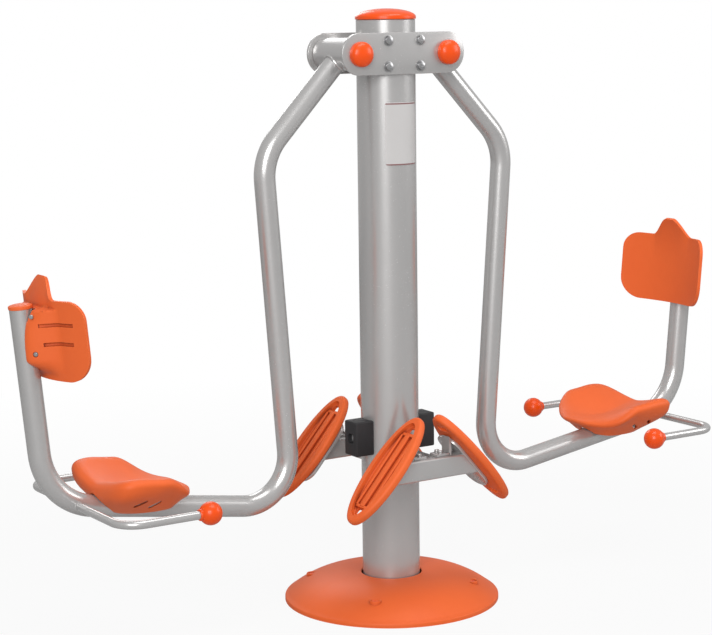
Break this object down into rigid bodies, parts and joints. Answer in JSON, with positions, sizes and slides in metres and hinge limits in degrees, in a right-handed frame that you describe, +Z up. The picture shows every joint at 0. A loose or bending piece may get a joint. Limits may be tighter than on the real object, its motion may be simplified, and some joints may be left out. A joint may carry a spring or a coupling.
{
  "type": "outdoor leg press",
  "caption": "Outdoor leg press with two swinging seats hung from one post and fixed foot pedals at its base.",
  "frame": {"origin": "on the post's axis at the ground, under the base flange", "axes": "+X along the length towards the right seat, -Y towards the front with the plain label plate, +Z up"},
  "size_m": [1.9514, 0.542, 1.4293],
  "materials": {
    "silver_paint": "silver grey powder coat",
    "orange_plastic": "satin moulded plastic",
    "cap_plastic": "smooth glossy plastic",
    "rubber": "moulded black rubber",
    "steel": "zinc plated",
    "label": "bare pale plate"
  },
  "bodies": {
    "frame": {"base_flange": "silver_paint", "post_tube": "silver_paint", "base_cover_front": "orange_plastic", "base_cover_rear": "orange_plastic", "anchor_stud_1": "steel", "anchor_stud_2": "steel", "anchor_stud_3": "steel", "anchor_stud_4": "steel", "post_cap": "cap_plastic", "label_plate": "label", "head_plate_front": "silver_paint", "head_plate_rear": "silver_paint", "head_bolt_1": "steel", "head_bolt_2": "steel", "head_bolt_3": "steel", "head_bolt_4": "steel", "left_axle": "steel", "right_axle": "steel", "left_front_axle_cap": "cap_plastic", "left_rear_axle_cap": "cap_plastic", "right_front_axle_cap": "cap_plastic", "right_rear_axle_cap": "cap_plastic", "front_pedal_bar": "silver_paint", "rear_pedal_bar": "silver_paint", "left_front_pedal_bracket": "silver_paint", "left_rear_pedal_bracket": "silver_paint", "right_front_pedal_bracket": "silver_paint", "right_rear_pedal_bracket": "silver_paint", "left_front_pedal": "orange_plastic", "left_rear_pedal": "orange_plastic", "right_front_pedal": "orange_plastic", "right_rear_pedal": "orange_plastic", "left_bumper": "rubber", "right_bumper": "rubber", "left_bumper_bolt": "steel", "right_bumper_bolt": "steel"},
    "left_arm": {"left_arm_hub": "silver_paint", "left_arm_tube": "silver_paint", "left_front_bearing": "steel", "left_rear_bearing": "steel", "left_arm_tube_cap": "orange_plastic", "left_seat_bracket": "silver_paint", "left_seat": "orange_plastic", "left_backrest_bracket": "silver_paint", "left_backrest": "orange_plastic", "left_handle_rail": "silver_paint", "left_front_ball": "cap_plastic", "left_rear_ball": "cap_plastic"},
    "right_arm": {"right_arm_hub": "silver_paint", "right_arm_tube": "silver_paint", "right_front_bearing": "steel", "right_rear_bearing": "steel", "right_arm_tube_cap": "orange_plastic", "right_seat_bracket": "silver_paint", "right_seat": "orange_plastic", "right_backrest_bracket": "silver_paint", "right_backrest": "orange_plastic", "right_handle_rail": "silver_paint", "right_front_ball": "cap_plastic", "right_rear_ball": "cap_plastic"}
  },
  "joints": [
    {"name": "left_arm_swing", "type": "hinge", "parent": "frame", "child": "left_arm", "pos_m": [-0.1228, 0, 1.3254], "axis": [0, 1, 0], "range_deg": [-9, 32]},
    {"name": "right_arm_swing", "type": "hinge", "parent": "frame", "child": "right_arm", "pos_m": [0.1228, 0, 1.3254], "axis": [0, -1, 0], "range_deg": [-9, 32]}
  ]
}
